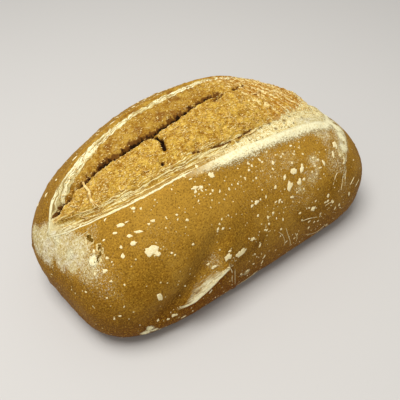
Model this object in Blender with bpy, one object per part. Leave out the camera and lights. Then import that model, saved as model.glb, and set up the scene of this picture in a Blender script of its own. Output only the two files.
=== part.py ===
"""A hand-shaped sourdough loaf, long and round-cornered, with one long score that has torn open.

The loaf lies along X, its blunt far end at +X. The side that shows a pinched fold faces -Y. The base is
flat, at z = 0. Everything is in metres.
"""

import math
from types import SimpleNamespace

import bmesh
import bpy
import numpy as np
from mathutils import Vector, noise

# Overall form: a rounded block whose widest line, the belly, lies low on the sides.
HALF_LENGTH = 0.130
HALF_WIDTH = 0.082
CROWN_HEIGHT = 0.1072
BELLY_HEIGHT = 0.0314
UNDERCUT = 0.0115
PLAN_POWER = 3.4
CROWN_POWER = 2.02
UNDERSIDE_POWER = 3.53
WIDTH_TAPER = 0.14
HEIGHT_TAPER = -0.03
SIDEWAYS_BOW = 0.010

# Swellings and sinkings left by the shaping, as ((x, y, z), rise, reach).
SWELLINGS = (
    ((-0.124, 0.028, 0.042), 0.0032, 0.028),
    ((0.000, 0.070, 0.082), 0.0036, 0.036),
    ((0.074, 0.044, 0.092), -0.0030, 0.034),
)
UNEVEN_RELIEF = 0.0016
UNEVEN_SIZE = 0.060

# Base: the underside rounds off over this radius, and everything below the cut is flat.
BASE_ROUNDING = 0.005
BASE_CUT = 0.0008

# Score: where the torn stretch starts and ends, and the sides of its opening.
NEAR_TIP = -0.117
FAR_TIP = 0.117
TIP_BLEND = 0.010
FRONT_EDGE_Y = -0.027
BACK_EDGE_Y = 0.048
NEAR_START = -0.113
FRONT_NARROWING = 0.038
BACK_NARROWING = 0.026
FRONT_NARROWING_LENGTH = 0.028
BACK_NARROWING_LENGTH = 0.040
FAR_NARROWING = 0.026
FAR_ROUNDING = 0.034
EDGE_BLEND = 0.006
TOP_FACING = (0.25, 0.55)

# Crevice: the deep tear that runs beside the raised back flap.
CREVICE_Y = 0.0165
CREVICE_SWAY = 0.003
CREVICE_SWAY_START = -0.105
CREVICE_SWAY_LENGTH = 0.140
CREVICE_WOBBLES = ((0.0016, 0.012), (0.0010, 0.005))
CREVICE_END = 0.042
CREVICE_FADE = 0.022
CREVICE_DEPTH = 0.0095
CREVICE_DEPTH_CHANGE = 0.0033
CREVICE_FRONT_WIDTH = 0.0017
CREVICE_BACK_WIDTH = 0.0034

# Relief of the torn area and of the crust's edges.
BLOOM_RISE = 0.0034
FLAP_SINK = 0.0036
FLAP_LIP = 0.0026
FLAP_LIP_WIDTH = 0.0045
FLAP_LIP_FADE = (0.060, 0.100)
BAND_RISE = 0.0012
BAND_OFFSET = 0.0075
BAND_WIDTH = 0.0050
CRAG_RELIEF = 0.0006
CRAG_SIZE = 0.0070
PIT_RELIEF = 0.0007
PIT_SIZE = 0.0032
STRAND_RELIEF = 0.0012
STRAND_SIZE = 0.0042
STRAND_STRETCH = 7.0
STRAND_SLANT = 0.40
STRAND_START = (0.010, 0.065)

# Short tear that crosses the bloom, as (x, y).
CROSS_TEAR = ((-0.0375, 0.0085), (-0.0360, 0.0020), (-0.0402, -0.0066))
CROSS_PIT = (-0.0480, -0.0135)
CROSS_PIT_REACH = 0.0018
CROSS_DEPTH = 0.0046
CROSS_WIDTH = 0.0013

# Pinched fold low on the front side, as (x, z): the crest of its lip, and the hollow above it.
LIP_FOOT = (-0.079, 0.025)
LIP_TOP = (-0.038, 0.044)
LIP_RISE = 0.0024
LIP_REACH = 0.0050
LIP_START = (-0.05, 0.30)
LIP_STOP = (0.96, 1.02)
TUCK_DEPTH = 0.0046
TUCK_REACH = 0.011
TUCK_STEP = 0.0012
HOLLOW_FOOT = (-0.088, 0.030)
HOLLOW_TOP = (-0.044, 0.064)
HOLLOW_DEPTH = 0.0042
HOLLOW_WIDTH = 0.0085
FRONT_FACING = (0.30, 0.70)

# Mesh: divisions of each side of the starting cube, and how many triangles are kept.
GRID = 150
KEPT_TRIANGLES = 11200

CRUST_COLOUR = (0.32, 0.17, 0.045, 1.0)
CRUST_ROUGHNESS = 0.62


def smooth(low, high, value):
    """Rises smoothly from 0 at low to 1 at high."""
    share = np.clip((value - low) / (high - low), 0.0, 1.0)
    return share * share * (3.0 - 2.0 * share)


def bump(distance, width):
    """A smooth hump of height 1, which has sunk to about a third at the given width."""
    return np.exp(-((distance / width) ** 2))


def noise_field(points, size, shift):
    """Smooth noise from about -1 to 1, with features of the given size."""
    offset = Vector((shift, 1.7 * shift, -2.3 * shift))
    return np.array([noise.noise(Vector(p) / size + offset) for p in points])


def noise_along(x, size, shift):
    """Smooth noise that changes only along the loaf."""
    return noise_field(np.stack([x, np.zeros_like(x), np.zeros_like(x)], axis=1), size, shift)


def line_share(u, v, start, end):
    """How far along the line from start to end each point (u, v) is, and how far to its left."""
    du, dv = end[0] - start[0], end[1] - start[1]
    length = math.hypot(du, dv)
    along = ((u - start[0]) * du + (v - start[1]) * dv) / length
    left = ((v - start[1]) * du - (u - start[0]) * dv) / length
    return along / length, left


def distance_to_line(u, v, corners):
    """Shortest distance from each point (u, v) to a line through the corners."""
    nearest = np.full(u.shape, 1.0)
    for (u0, v0), (u1, v1) in zip(corners[:-1], corners[1:]):
        du, dv = u1 - u0, v1 - v0
        share = np.clip(((u - u0) * du + (v - v0) * dv) / (du * du + dv * dv), 0.0, 1.0)
        nearest = np.minimum(nearest, np.hypot(u - u0 - share * du, v - v0 - share * dv))
    return nearest


def body_surface(directions):
    """Points of the smooth loaf in the given directions from its middle."""
    up = directions[:, 2] > 0
    reach = np.where(up, CROWN_HEIGHT - BELLY_HEIGHT, BELLY_HEIGHT + UNDERCUT)
    power = np.where(up, CROWN_POWER, UNDERSIDE_POWER)
    plan = (np.abs(directions[:, 0]) / HALF_LENGTH) ** PLAN_POWER
    plan += (np.abs(directions[:, 1]) / HALF_WIDTH) ** PLAN_POWER
    size = plan ** (power / PLAN_POWER) + (np.abs(directions[:, 2]) / reach) ** power
    points = directions / (size ** (1.0 / power))[:, None]
    points[:, 2] += BELLY_HEIGHT
    along = points[:, 0] / HALF_LENGTH
    points[:, 1] = points[:, 1] * (1.0 + WIDTH_TAPER * along) + SIDEWAYS_BOW * (1.0 - along**2)
    points[:, 2] *= 1.0 + HEIGHT_TAPER * along
    return points


def shaping_relief(points):
    """Slow unevenness of the hand-shaped body."""
    relief = UNEVEN_RELIEF * noise_field(points, UNEVEN_SIZE, 1.0)
    for centre, rise, reach in SWELLINGS:
        relief += rise * bump(np.linalg.norm(points - np.array(centre), axis=1), reach)
    return relief


def front_edge(x):
    """Y of the front side of the opening at each x."""
    near = FRONT_NARROWING * np.exp((NEAR_START - x) / FRONT_NARROWING_LENGTH)
    far = FAR_NARROWING * smooth(FAR_TIP - FAR_ROUNDING, FAR_TIP, x)
    return FRONT_EDGE_Y + near + far


def back_edge(x):
    """Y of the back side of the opening at each x."""
    near = BACK_NARROWING * np.exp((NEAR_START - x) / BACK_NARROWING_LENGTH)
    far = FAR_NARROWING * smooth(FAR_TIP - FAR_ROUNDING, FAR_TIP, x)
    return BACK_EDGE_Y - near - far


def crevice_line(x):
    """Y of the deep tear at each x."""
    line = CREVICE_Y + CREVICE_SWAY * np.cos(2.0 * math.pi * (x - CREVICE_SWAY_START) / CREVICE_SWAY_LENGTH)
    for number, (height, size) in enumerate(CREVICE_WOBBLES):
        line += height * noise_along(x, size, 3.1 + 5.3 * number)
    return line


def score_fields(points, normals):
    """Where each point lies in the score."""
    x, y = points[:, 0], points[:, 1]
    ends = smooth(NEAR_TIP, NEAR_TIP + TIP_BLEND, x) * (1.0 - smooth(FAR_TIP - TIP_BLEND, FAR_TIP, x))
    front, back, tear = front_edge(x), back_edge(x), crevice_line(x)
    sides = smooth(0.0, EDGE_BLEND, y - front) * smooth(0.0, EDGE_BLEND / 2.0, back - y)
    split = smooth(NEAR_TIP, NEAR_TIP + TIP_BLEND, x) - smooth(CREVICE_END - CREVICE_FADE, CREVICE_END, x)
    top = smooth(*TOP_FACING, normals[:, 2])
    return SimpleNamespace(
        x=x, y=y, front=front, back=back, tear=tear, ends=ends, inside=sides * ends, split=split, top=top
    )


def bloom_relief(s):
    """The risen crumb: one swell up to the crevice, and one across the whole score past its end."""
    share = np.clip((s.y - s.front) / (s.tear - s.front), 0.0, 1.0)
    beside_tear = np.sin(math.pi * share**0.8) * (s.y < s.tear)
    whole = np.sin(math.pi * np.clip((s.y - s.front) / (s.back - s.front), 0.0, 1.0))
    return BLOOM_RISE * (beside_tear * s.split + whole * (1.0 - s.split))


def flap_relief(s):
    """The back flap's inner side, which slopes down to the crevice."""
    share = np.clip((s.y - s.tear) / np.maximum(s.back - s.tear, 0.002), 0.0, 1.0)
    return -FLAP_SINK * (1.0 - share) * (s.y >= s.tear) * s.split


def crevice_relief(s):
    away = s.y - s.tear
    wall = np.where(away < 0, CREVICE_FRONT_WIDTH, CREVICE_BACK_WIDTH)
    depth = CREVICE_DEPTH * 0.85 + CREVICE_DEPTH_CHANGE * noise_along(s.x, 0.009, 5.0)
    return -depth * np.exp(-((np.abs(away) / wall) ** 1.5)) * s.split


def torn_texture(points):
    """Crags and pits of the torn crumb, and at the far end the strands that it tore into."""
    x, y, z = points.T
    crags = CRAG_RELIEF * (0.45 - 2.2 * np.abs(noise_field(points, CRAG_SIZE, 11.0)))
    pits = PIT_RELIEF * noise_field(points, PIT_SIZE, 17.0)
    across, along = x + STRAND_SLANT * y, y - STRAND_SLANT * x
    slanted = np.stack([across, along / STRAND_STRETCH, z / STRAND_STRETCH], axis=1)
    strands = STRAND_RELIEF * (0.45 - 1.9 * np.abs(noise_field(slanted, STRAND_SIZE, 23.0)))
    return crags + pits + strands * smooth(*STRAND_START, x)


def crust_edges(s):
    """The lip along the back flap, and the swollen band along the front side."""
    lip = FLAP_LIP * bump(s.y - s.back, FLAP_LIP_WIDTH) * (1.0 - smooth(*FLAP_LIP_FADE, s.x))
    band = BAND_RISE * bump(s.y - s.front + BAND_OFFSET, BAND_WIDTH)
    return (lip + band) * s.ends


def cross_shape(s):
    """How deep the short cross tear and the pit beyond it are at each point, from 0 to 1."""
    tear = bump(distance_to_line(s.x, s.y, CROSS_TEAR), CROSS_WIDTH)
    pit = bump(np.hypot(s.x - CROSS_PIT[0], s.y - CROSS_PIT[1]), CROSS_PIT_REACH)
    return np.maximum(tear, 0.6 * pit)


def score_relief(points, normals):
    """Height of the torn score above the smooth loaf."""
    s = score_fields(points, normals)
    torn = bloom_relief(s) + flap_relief(s) + crevice_relief(s) + torn_texture(points)
    torn -= CROSS_DEPTH * cross_shape(s)
    return (torn * s.inside + crust_edges(s)) * s.top


def fold_relief(points, normals):
    """The pinched fold on the front side: a hollow, a lip under it, and the skin tucked in under the lip."""
    x, z = points[:, 0], points[:, 2]
    share, above = line_share(x, z, LIP_FOOT, LIP_TOP)
    window = smooth(*LIP_START, share) * (1.0 - smooth(*LIP_STOP, share))
    upper = smooth(-TUCK_STEP, 0.0, above)
    lip = LIP_RISE * bump(above, LIP_REACH) * upper
    tuck = TUCK_DEPTH * np.exp(np.minimum(above, 0.0) / TUCK_REACH) * (1.0 - upper)
    hollow = HOLLOW_DEPTH * bump(distance_to_line(x, z, (HOLLOW_FOOT, HOLLOW_TOP)), HOLLOW_WIDTH)
    hollow *= 1.0 - window * bump(above, LIP_REACH)
    return ((lip - tuck) * window - hollow) * smooth(*FRONT_FACING, -normals[:, 1])


def flatten_base(points):
    """Rounds the underside into a flat base at z = 0."""
    z = points[:, 2]
    rounded = (z + np.sqrt(z * z + BASE_ROUNDING**2)) / 2.0 - BASE_CUT
    points[:, 2] = np.maximum(rounded, 0.0)
    return points


def cube_directions():
    """A cube of GRID divisions a side, and its corners' directions spread evenly."""
    shape = bmesh.new()
    bmesh.ops.create_cube(shape, size=2.0)
    bmesh.ops.subdivide_edges(shape, edges=shape.edges, cuts=GRID - 1, use_grid_fill=True)
    corners = np.array([vertex.co[:] for vertex in shape.verts])
    spread = np.tan(corners * math.pi / 4.0)
    return shape, spread / np.linalg.norm(spread, axis=1)[:, None]


def loaf_mesh():
    """The loaf at full detail, centred over the origin."""
    shape, directions = cube_directions()
    points = body_surface(directions)
    for vertex, place in zip(shape.verts, points):
        vertex.co = place
    shape.normal_update()
    normals = np.array([vertex.normal[:] for vertex in shape.verts])
    relief = shaping_relief(points) + score_relief(points, normals) + fold_relief(points, normals)
    points = flatten_base(points + normals * relief[:, None])
    middle = (points.min(axis=0) + points.max(axis=0)) / 2.0
    points[:, :2] -= middle[:2]
    for vertex, place in zip(shape.verts, points):
        vertex.co = place
    mesh = bpy.data.meshes.new("loaf")
    shape.to_mesh(mesh)
    shape.free()
    return mesh


def crust_material():
    material = bpy.data.materials.new("crust")
    material.use_nodes = True
    shader = material.node_tree.nodes["Principled BSDF"]
    shader.inputs["Base Color"].default_value = CRUST_COLOUR
    shader.inputs["Roughness"].default_value = CRUST_ROUGHNESS
    shader.inputs["Metallic"].default_value = 0.0
    return material


def build_loaf(collection):
    mesh = loaf_mesh()
    mesh.materials.append(crust_material())
    mesh.shade_smooth()
    loaf = bpy.data.objects.new("loaf", mesh)
    collection.objects.link(loaf)
    thin = loaf.modifiers.new("fewer faces", "DECIMATE")
    thin.ratio = KEPT_TRIANGLES / (2.0 * len(mesh.polygons))
    thin.use_collapse_triangulate = True
    return loaf


def main():
    for old in list(bpy.data.objects):
        bpy.data.objects.remove(old)
    collection = bpy.data.collections.new("sourdough loaf")
    bpy.context.scene.collection.children.link(collection)
    build_loaf(collection)


main()
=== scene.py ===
"""A sourdough loaf with one long torn score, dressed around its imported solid.

Crust and crumb follow the solid's own surface: crust outside the score, torn crumb inside it. Everything is
in metres, in the solid's frame: X along the loaf, -Y towards the pinched fold, Z up from the flat base.
"""

import math
import random
from types import SimpleNamespace

import bmesh
import bpy
import numpy as np
from mathutils import Matrix, Vector, noise
from mathutils.bvhtree import BVHTree


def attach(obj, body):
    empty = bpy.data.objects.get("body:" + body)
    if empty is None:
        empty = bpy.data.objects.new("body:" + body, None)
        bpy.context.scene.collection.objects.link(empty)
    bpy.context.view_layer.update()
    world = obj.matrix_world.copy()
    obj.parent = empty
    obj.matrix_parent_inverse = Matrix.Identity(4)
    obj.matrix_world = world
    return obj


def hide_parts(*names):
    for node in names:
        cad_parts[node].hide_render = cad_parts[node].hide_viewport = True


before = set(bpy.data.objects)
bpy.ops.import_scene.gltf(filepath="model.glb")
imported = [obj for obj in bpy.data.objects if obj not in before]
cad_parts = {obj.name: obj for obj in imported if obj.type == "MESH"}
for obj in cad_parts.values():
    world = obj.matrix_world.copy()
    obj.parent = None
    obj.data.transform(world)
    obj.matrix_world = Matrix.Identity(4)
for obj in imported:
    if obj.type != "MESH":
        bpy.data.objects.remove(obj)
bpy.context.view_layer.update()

# Overall form, as in the solid: a rounded block whose widest line, the belly, lies low on the sides.
HALF_LENGTH = 0.130
HALF_WIDTH = 0.082
CROWN_HEIGHT = 0.1072
BELLY_HEIGHT = 0.0314
UNDERCUT = 0.0115
PLAN_POWER = 3.4
CROWN_POWER = 2.02
UNDERSIDE_POWER = 3.53
WIDTH_TAPER = 0.14
HEIGHT_TAPER = -0.03
SIDEWAYS_BOW = 0.010
MIDDLE = (-0.0006, 0.0080)
SWELLINGS = (
    ((-0.124, 0.028, 0.042), 0.0032, 0.028),
    ((0.000, 0.070, 0.082), 0.0036, 0.036),
    ((0.074, 0.044, 0.092), -0.0030, 0.034),
)
UNEVEN_RELIEF = 0.0016
UNEVEN_SIZE = 0.060
BASE_ROUNDING = 0.005
BASE_CUT = 0.0008

# Score, as in the solid.
NEAR_TIP = -0.117
FAR_TIP = 0.117
TIP_BLEND = 0.010
FRONT_EDGE_Y = -0.027
BACK_EDGE_Y = 0.048
NEAR_START = -0.113
FRONT_NARROWING = 0.038
BACK_NARROWING = 0.026
FRONT_NARROWING_LENGTH = 0.028
BACK_NARROWING_LENGTH = 0.040
FAR_NARROWING = 0.026
FAR_ROUNDING = 0.034
EDGE_BLEND = 0.006
TOP_FACING = (0.25, 0.55)
CREVICE_Y = 0.0165
CREVICE_SWAY = 0.003
CREVICE_SWAY_START = -0.105
CREVICE_SWAY_LENGTH = 0.140
CREVICE_WOBBLES = ((0.0016, 0.012), (0.0010, 0.005))
CREVICE_END = 0.042
CREVICE_FADE = 0.022
CREVICE_DEPTH = 0.0095
CREVICE_DEPTH_CHANGE = 0.0033
CREVICE_FRONT_WIDTH = 0.0017
CREVICE_BACK_WIDTH = 0.0034
BLOOM_RISE = 0.0034
FLAP_SINK = 0.0036
FLAP_LIP = 0.0026
FLAP_LIP_WIDTH = 0.0045
FLAP_LIP_FADE = (0.060, 0.100)
BAND_RISE = 0.0012
BAND_OFFSET = 0.0075
BAND_WIDTH = 0.0050
CRAG_RELIEF = 0.0006
CRAG_SIZE = 0.0070
PIT_RELIEF = 0.0007
PIT_SIZE = 0.0032
STRAND_RELIEF = 0.0012
STRAND_SIZE = 0.0042
STRAND_STRETCH = 7.0
STRAND_SLANT = 0.40
STRAND_START = (0.010, 0.065)
CROSS_TEAR = ((-0.0375, 0.0085), (-0.0360, 0.0020), (-0.0402, -0.0066))
CROSS_PIT = (-0.0480, -0.0135)
CROSS_PIT_REACH = 0.0018
CROSS_DEPTH = 0.0046
CROSS_WIDTH = 0.0013

# Pinched fold, as in the solid.
LIP_FOOT = (-0.079, 0.025)
LIP_TOP = (-0.038, 0.044)
LIP_RISE = 0.0024
LIP_REACH = 0.0050
LIP_START = (-0.05, 0.30)
LIP_STOP = (0.96, 1.02)
TUCK_DEPTH = 0.0046
TUCK_REACH = 0.011
TUCK_STEP = 0.0012
HOLLOW_FOOT = (-0.088, 0.030)
HOLLOW_TOP = (-0.044, 0.064)
HOLLOW_DEPTH = 0.0042
HOLLOW_WIDTH = 0.0085
FRONT_FACING = (0.30, 0.70)

# Crust piece: divisions of the starting box, the edge along the score, and how far both pieces are set in.
CRUST_GRID = (216, 136, 60)
EDGE_REACH = 0.0034
EDGE_WANDER = 0.0009
EDGE_WANDER_SIZE = 0.004
SKIN_PROUD = 0.0004
INSET = 0.0008
DIVE_DEPTH = 0.0060
DIVE_REACH = 0.0011
HIDDEN_MARGIN = 0.0045
LIP_FINE = 0.0035

# Crumb piece: grid lines along and across the score.
CRUMB_GRID = (470, 165)
CRUMB_MARGIN = 0.0040
CRUMB_TUCK = 0.0050

MM = 1000.0  # millimetres in a metre, for masks in millimetres

# Flour along the opening, in metres. Each pair of a curve is (x, distance outside the front side): the line
# or upper border of the flour, and its lower fade. The third curve is how far inside the porous rim reaches.
CREST_REACH = ((-0.111, 0.0060), (-0.095, 0.0036), (-0.072, 0.0030), (-0.044, 0.0026), (-0.021, 0.0028),
               (0.004, 0.0033), (0.021, 0.0055), (0.0345, 0.0073), (0.0545, 0.0088), (0.080, 0.0100),
               (0.095, 0.0130), (0.118, 0.0190))
FOOT_REACH = ((-0.050, 0.0044), (-0.040, 0.0056), (-0.019, 0.0080), (0.005, 0.0106), (0.023, 0.0120),
              (0.050, 0.0152), (0.080, 0.0170), (0.095, 0.0198), (0.118, 0.0262))
RIM_REACH = ((-0.040, -0.0006), (-0.010, 0.0006), (0.020, 0.0012), (0.045, 0.0016), (0.062, 0.0045),
             (0.078, 0.0085), (0.095, 0.0140), (0.117, 0.0260))
BAND_FILLING = (-0.048, -0.008)
RIM_START = (-0.036, 0.004)
STREAK_REACH = (0.0100, 0.0062)
STREAK_NARROWING = (-0.02, 0.04)
RIDGE_REACH = (0.0029, 0.0013)
RIDGE_THINNING = (-0.105, -0.030)
RIDGE_INSET = (0.0010, 0.0038)
RIDGE_INSET_START = (-0.112, -0.080)

# Flour on the crust, as (pixel of the photograph, reach in metres, strength), cast onto the crust.
FLOUR_PATCHES = (
    ((330, 122), 0.0060, 0.90), ((336, 127), 0.0070, 0.92), ((341, 136), 0.0070, 0.86),
    ((343, 147), 0.0056, 0.74), ((150, 328), 0.0034, 0.90), ((155, 330), 0.0036, 0.90),
    ((146, 333), 0.0056, 0.80), ((160, 329), 0.0026, 0.80), ((93, 261), 0.0044, 0.90),
    ((57, 241), 0.0050, 0.62), ((70, 254), 0.0060, 0.60), ((52, 226), 0.0050, 0.60),
)
DUST_PATCHES = (
    ((58, 244), 0.0180, 0.98), ((44, 238), 0.0130, 0.95), ((36, 236), 0.0100, 0.92),
    ((39, 247), 0.0090, 0.88), ((48, 256), 0.0100, 0.86), ((72, 255), 0.0155, 0.92),
    ((61, 260), 0.0105, 0.82), ((80, 246), 0.0110, 0.80), ((88, 268), 0.0150, 0.62),
    ((100, 278), 0.0220, 0.36), ((160, 240), 0.0200, 0.24), ((92, 232), 0.0080, 0.42),
    ((270, 172), 0.0200, 0.34), ((314, 161), 0.0085, 0.58), ((317, 170), 0.0060, 0.52),
    ((300, 190), 0.0080, 0.50), ((339, 132), 0.0100, 0.95), ((343, 146), 0.0080, 0.75),
    ((312, 178), 0.0100, 0.50), ((288, 160), 0.0120, 0.42), ((270, 158), 0.0080, 0.40),
    ((250, 200), 0.0200, 0.22), ((300, 195), 0.0200, 0.34), ((336, 160), 0.0170, 0.46),
    ((322, 132), 0.0150, 0.60), ((214, 262), 0.0090, 0.45), ((247, 272), 0.0040, 0.60),
    ((345, 185), 0.0120, 0.34),
)
FLOUR_TRAILS = (
    (((328, 120), (335, 122), (341, 128), (345, 138), (346, 150)), 0.0034, 0.66),
    (((346, 150), (345, 163), (344, 176)), 0.0018, 0.60),
    (((240, 276), (249, 270)), 0.0012, 0.56),
    (((36, 237), (38, 249), (44, 262)), 0.0010, 0.55),
)
DUST_TRAILS = (
    (((322, 123), (334, 127), (340, 137), (341, 152)), 0.0080, 0.74),
    (((300, 122), (316, 119), (330, 121)), 0.0060, 0.80),
)

# Painted shade, as darker skin along lines (corners by pixel, reach in metres, strength), and chipped pits,
# as (pixel, reach, depth).
# The painted shade lies in the fold's hollow, along a line beside it, and as a shadow behind a skin flake at
# the near corner.
PAINTED_SHADE_TRAILS = (
    (((176, 297), (186, 284), (196, 271), (207, 257)), 0.0046, 0.46),
    (((238, 262), (250, 252), (262, 240)), 0.0034, 0.45),
    (((36, 236), (37, 249)), 0.0008, 0.80),
)
CHIPS = (
    ((88, 238), 0.0022, 0.0013), ((91, 241), 0.0016, 0.0010), ((99, 246), 0.0014, 0.0008),
    ((103, 248), 0.0009, 0.0004), ((99, 257), 0.0021, 0.0012), ((96, 262), 0.0015, 0.0006),
    ((104, 254), 0.0011, 0.0005),
)

# Flour spots, as (pixel, length and width in pixels, turn in degrees).
FLOUR_SPOTS = (
    ((152, 251), 15, 10, -8), ((158, 254), 6, 5, -20), ((133, 243), 8, 5, 10), ((130, 236), 5, 3, 0),
    ((138, 232), 8, 3, 10), ((115, 233), 4, 2.5, 0), ((121, 225), 8, 4, 18), ((127, 222), 4, 2, 25),
    ((134, 208), 6, 3, 12), ((153, 221), 5, 3, 10), ((149, 224), 2.5, 3, 0), ((187, 220), 3, 3, 0),
    ((195, 188), 8, 3, 15), ((212, 175), 7, 6, 40), ((123, 256), 4, 5, 0), ((121, 247), 3, 4, 0),
    ((105, 271), 6, 5, 0), ((160, 297), 5, 8, 12), ((86, 292), 3, 2, 0), ((107, 298), 2.5, 2, 0),
    ((290, 185), 6, 9, 0), ((302, 169), 5, 10, -8), ((294, 171), 6, 6, 0), ((285, 177), 3, 5, -20),
    ((333, 154), 4, 6, 0), ((335, 145), 6, 6, 0), ((273, 163), 3, 4, 0), ((257, 202), 6, 4, 10),
    ((252, 206), 4, 2, 40), ((258, 216), 3, 2, 20), ((273, 213), 3, 2, 0), ((269, 224), 3, 2, 0),
    ((228, 257), 8, 6, 0), ((241, 253), 12, 5, 22), ((230, 251), 4, 2, 15), ((253, 239), 6, 3, 15),
    ((218, 229), 3, 3, 0), ((193, 244), 3, 2.5, 0), ((349, 194), 3, 4, 20), ((324, 163), 3, 5, 25),
    ((300, 181), 3, 4, 0), ((304, 179), 3, 3, 0), ((120, 316), 3, 2, 0), ((114, 319), 2.5, 2, 0),
    ((175, 315), 6, 3, 10), ((183, 317), 5, 2.5, 20), ((168, 319), 3, 2, 0), ((112, 123), 6, 3, 42),
    ((75, 158), 7, 3, 48), ((56, 180), 3, 2, 45), ((46, 195), 6, 2, 65), ((38, 205), 3, 2, 60),
    ((273, 169), 3, 2, 10), ((340, 155), 2, 3, 0), ((344, 159), 2, 4, 0), ((248, 163), 3, 3, 0),
    ((249, 170), 3, 2, 25), ((262, 162), 2, 2, 0), ((292, 163), 3, 2, 0), ((303, 154), 2.5, 2, 0),
    ((256, 178), 2.5, 2.5, 0), ((276, 187), 2, 3, 0), ((292, 197), 5, 2, 20), ((328, 196), 3, 3, 0),
    ((185, 286), 2, 2, 0), ((211, 291), 2, 4, -30), ((228, 292), 5, 3, 35), ((158, 320), 3, 2, 40),
    ((172, 253), 2.5, 2, 0), ((175, 255), 2, 2, 0), ((208, 264), 4, 2, 45), ((214, 267), 5, 3, 30),
    ((313, 158), 3, 2, 30), ((318, 160), 3, 2, 0), ((315, 166), 3, 3, 0), ((320, 168), 4, 2, 20),
    ((312, 172), 2, 2, 0), ((317, 174), 2, 2, 0), ((299, 183), 4, 3, 0), ((304, 189), 2, 2, 0),
    ((297, 192), 2, 2, 0), ((247, 271), 4, 2, 30), ((241, 274), 3, 2, 20), ((95, 274), 3, 3, 0),
    ((104, 240), 3, 2, 40), ((94, 251), 4, 4, 0), ((107, 258), 3, 3, 0), ((112, 262), 2, 2, 0),
    ((276, 202), 3, 1.5, 30), ((280, 200), 3, 2, 20), ((282, 202), 2, 1.5, 0), ((266, 197), 2, 3, 0),
    ((265, 230), 2, 2, 0), ((260, 245), 2, 4, -20), ((333, 202), 3, 2, 10), ((339, 205), 2, 2, 0),
    ((335, 208), 2, 3, 0), ((313, 209), 7, 3, 15), ((309, 208), 2, 2, 0), ((300, 213), 3, 2, 20),
    ((302, 220), 2, 2, 0), ((306, 242), 2, 2, 0), ((314, 222), 3, 1.5, 60), ((326, 225), 3, 1.5, 60),
    ((320, 231), 3, 1.5, 50), ((264, 257), 2, 4, -30), ((262, 262), 2, 3, -20), ((255, 254), 2, 1.5, 0),
    ((245, 178), 2.5, 2, 0), ((238, 184), 2, 2, 0), ((262, 190), 2, 1.5, 0), ((283, 219), 2, 3, 0),
)

# Thin lines of flour on the crust, as (corners by pixel, width in metres).
FLOUR_LINES = (
    (((227, 268), (230, 268), (232, 272), (232, 280), (232, 288)), 0.0007),
    (((235, 260), (235, 270), (235, 284)), 0.0006),
    (((286, 228), (288, 235), (290, 241), (290, 246)), 0.0007),
    (((302, 221), (311, 218), (320, 217)), 0.0006),
    (((311, 210), (314, 208), (317, 208)), 0.0010),
    (((295, 233), (297, 237), (296, 242)), 0.0006),
    (((354, 177), (352, 181), (350, 185)), 0.0007),
    (((359, 179), (357, 183), (355, 187)), 0.0006),
    (((346, 170), (345, 178), (345, 186)), 0.0007),
    (((343, 176), (342, 184), (341, 190)), 0.0005),
    (((333, 185), (336, 175), (341, 168)), 0.0006),
    (((304, 243), (314, 233), (325, 225)), 0.0006),
    (((279, 232), (283, 236), (285, 242)), 0.0005),
    (((325, 206), (329, 203), (333, 202)), 0.0006),
    (((64, 236), (69, 233), (75, 227)), 0.0006),
    (((60, 232), (66, 227), (73, 223)), 0.0007),
    (((58, 228), (60, 223), (61, 219)), 0.0006),
    (((75, 240), (82, 235), (88, 231)), 0.0005),
    (((240, 291), (251, 283), (262, 275)), 0.0007),
)

# A spot's rings from its rim inwards, as (share of its reach, height in thicknesses), its ragged outline, as
# (strength, pace, whether the noise is shifted sideways), and the random specks.
SPOT_THICKNESS = 0.00028
SPOT_PROFILE = ((1.0, -0.5), (0.88, 0.62), (0.6, 0.9))
SPOT_RAGGEDNESS = ((0.60, 0.9, True), (0.55, 2.3, False), (0.30, 5.0, True))
SPECK_SEED = 17
SPECK_COUNT = 760
SPECK_SIZES = (0.00030, 0.00110)
SPECK_THICKNESS = 0.00014
SPECK_LOWEST = 0.004
SPECK_MARGIN = -0.002

# Torn crumb: small cracks along the front side as (corners, width), the painted shade on the crevice's upper
# side, and the flakes.
SIDE_CRACKS = (
    (((0.0085, -0.0240), (0.0150, -0.0235), (0.0215, -0.0232)), 0.0007),
    (((-0.0142, -0.0215), (-0.0064, -0.0226), (0.0012, -0.0238)), 0.0007),
    (((-0.0276, -0.0185), (-0.0233, -0.0200)), 0.0006),
    (((0.0205, 0.0128), (0.0265, 0.0145), (0.0320, 0.0172)), 0.0015),
    (((0.0400, 0.0150), (0.0480, 0.0175), (0.0560, 0.0195)), 0.0013),
    (((-0.0425, 0.0098), (-0.0405, 0.0102), (-0.0378, 0.0085)), 0.0005),
)
CRACK_DEPTH = 0.0016
TEAR_RAG = 0.0008
CREVICE_SHADE = 0.0062
CREVICE_SHADE_LEAST = (0.0027, 0.0044)
CREVICE_SHADE_SHARE = 0.24
CREVICE_TIP = (-0.108, -0.084)
LOWER_SHADE = 0.0008
FAR_STRANDS = (0.03, 0.07)
FAR_FLOUR = (0.104, 0.116)
DOUGH_STRANDS = (
    (((83, 182), (85, 187), (89, 192), (91, 200), (96, 208)), 0.0021, 0.0012),
    (((91, 199), (94, 203), (99, 207)), 0.0008, 0.0005),
    (((119, 185), (120, 190), (123, 192)), 0.0007, 0.0008),
    (((120, 191), (124, 190), (127, 187)), 0.0006, 0.0006),
    (((77, 212), (82, 213), (88, 211)), 0.0007, 0.0007),
    (((79, 216), (83, 218), (90, 217)), 0.0006, 0.0005),
    (((68, 205), (73, 207), (78, 206)), 0.0007, 0.0007),
    (((142, 170), (146, 172), (150, 170)), 0.0006, 0.0005),
    (((257, 79), (261, 78), (266, 77)), 0.0009, 0.0006),
    (((256, 130), (250, 134), (244, 136)), 0.0008, 0.0004),
    (((170, 131), (176, 128), (181, 124)), 0.0005, 0.0005),
    (((222, 118), (229, 117), (236, 119)), 0.0006, 0.0005),
)
FLAKE_SEED = 29
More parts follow.
